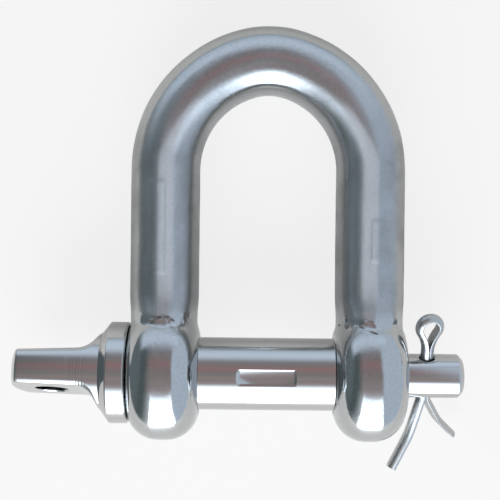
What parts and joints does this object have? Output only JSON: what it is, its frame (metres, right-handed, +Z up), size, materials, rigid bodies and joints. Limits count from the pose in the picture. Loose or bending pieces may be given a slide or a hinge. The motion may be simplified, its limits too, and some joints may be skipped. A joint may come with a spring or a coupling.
{
  "type": "shackle",
  "caption": "Bow shackle with a straight-sided D bow, a screw pin with a collar and a flat pierced tongue, and a split pin that locks the screw pin.",
  "frame": {"origin": "on the screw pin's axis, midway between the legs of the bow", "axes": "+X along the screw pin from its head to its free end; the crown lies towards +Y; +Z up, away from the surface that the shackle lies on"},
  "size_m": [0.1062, 0.1051, 0.0308],
  "materials": {
    "forged_steel": "polished stainless steel forging, slightly uneven",
    "turned_steel": "polished stainless steel, turned",
    "steel_wire": "drawn stainless steel wire"
  },
  "bodies": {
    "bow": {"bow": "forged_steel"},
    "pin": {"screw_pin": "turned_steel"},
    "split_pin": {"split_pin": "steel_wire"}
  },
  "joints": [
    {"name": "pin_turn", "type": "hinge", "parent": "bow", "child": "pin", "pos_m": [0, 0, 0], "axis": [-1, 0, 0], "range_deg": [0, 175]},
    {"name": "split_pin_swivel", "type": "hinge", "parent": "pin", "child": "split_pin", "pos_m": [0.03707, 0, 0], "axis": [0, 0.9445, 0.3284], "range_deg": [-130, 105]}
  ]
}
